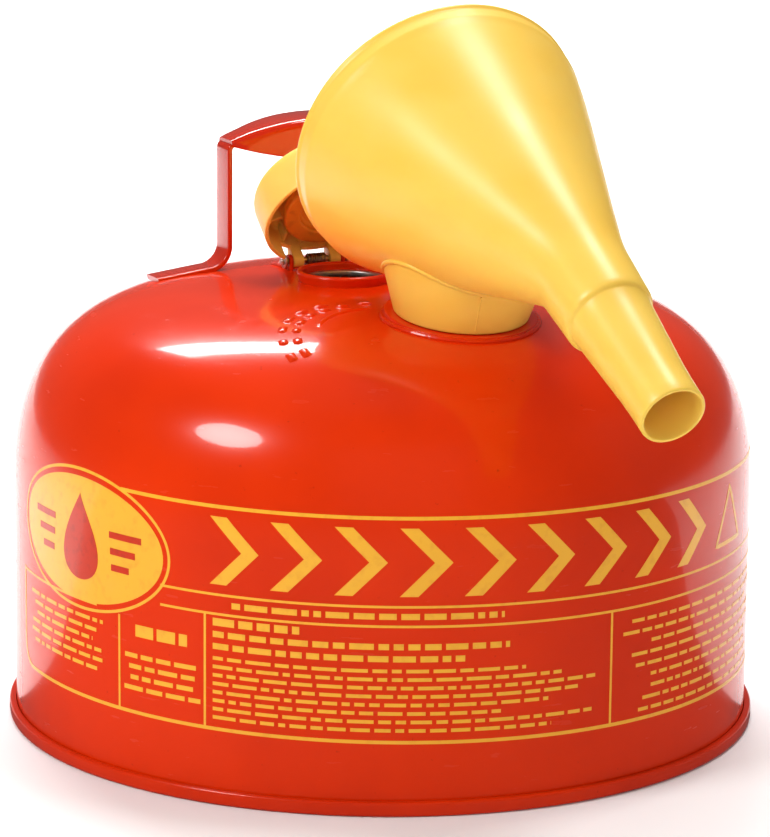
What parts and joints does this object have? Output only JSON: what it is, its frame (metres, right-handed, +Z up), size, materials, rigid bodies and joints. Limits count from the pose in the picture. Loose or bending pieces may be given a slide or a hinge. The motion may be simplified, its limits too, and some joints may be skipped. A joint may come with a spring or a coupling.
{
  "type": "safety gas can",
  "caption": "Squat round steel safety can with a hinged spring-closed filler lid, a fixed strap handle and a lift-off pouring funnel.",
  "frame": {"origin": "centre of the can on the ground plane, under the rolled bottom seam", "axes": "+Z up, -Y to the front where the funnel nozzle points, +X to the right when seen from behind the can looking at the nozzle side"},
  "size_m": [0.2858, 0.3748, 0.2782],
  "materials": {
    "body_paint": "gloss enamel on drawn sheet steel",
    "bottom_paint": "gloss enamel on rolled sheet steel",
    "seam_sealant": "cured sealing compound",
    "neck_paint": "gloss enamel, inside and out",
    "basket_steel": "pierced sheet steel",
    "bracket_paint": "gloss enamel",
    "hardware_steel": "zinc plated",
    "spring_steel": "spring wire",
    "lid_plastic": "moulded yellow plastic",
    "carrier_plastic": "moulded plastic",
    "gasket_rubber": "soft amber seal",
    "handle_paint": "gloss enamel on strap steel",
    "boss_paint": "gloss enamel",
    "ring_rubber": "black rubber",
    "funnel_plastic": "moulded yellow plastic, satin gloss",
    "label_print": "screen-printed enamel"
  },
  "bodies": {
    "can": {"can_body": "body_paint", "bottom_panel": "bottom_paint", "seam_compound": "seam_sealant", "neck": "neck_paint", "arrester_basket": "basket_steel", "arrester_ring": "basket_steel", "hinge_bracket": "bracket_paint", "hinge_pin": "hardware_steel", "pin_clip": "hardware_steel", "lid_spring": "spring_steel", "handle": "handle_paint", "funnel_boss": "boss_paint", "boss_weld_ring": "boss_paint", "grip_ring": "ring_rubber"},
    "lid": {"lid_cap": "lid_plastic", "relief_spring": "spring_steel"},
    "relief": {"seal_carrier": "carrier_plastic", "lid_gasket": "gasket_rubber", "relief_rivet": "hardware_steel", "spring_cup": "hardware_steel"},
    "funnel": {"funnel": "funnel_plastic", "funnel_collar": "funnel_plastic"}
  },
  "joints": [
    {"name": "lid_hinge", "type": "hinge", "parent": "can", "child": "lid", "pos_m": [-0.01, 0.042, 0.1681], "axis": [-1, 0, 0], "range_deg": [-50, 2], "stiffness_Nm_per_rad": 0.25, "springref_deg": -68.75, "deforming": ["lid_spring"]},
    {"name": "relief_slide", "type": "slide", "parent": "lid", "child": "relief", "axis": [0, 0.766, 0.6428], "range_m": [0, 0.002], "stiffness_N_per_m": 1500, "springref_m": -0.003, "deforming": ["relief_spring"]},
    {"name": "funnel_lift", "type": "slide", "parent": "can", "child": "funnel", "axis": [0, -0.1564, 0.9877], "range_m": [0, 0.03]}
  ]
}
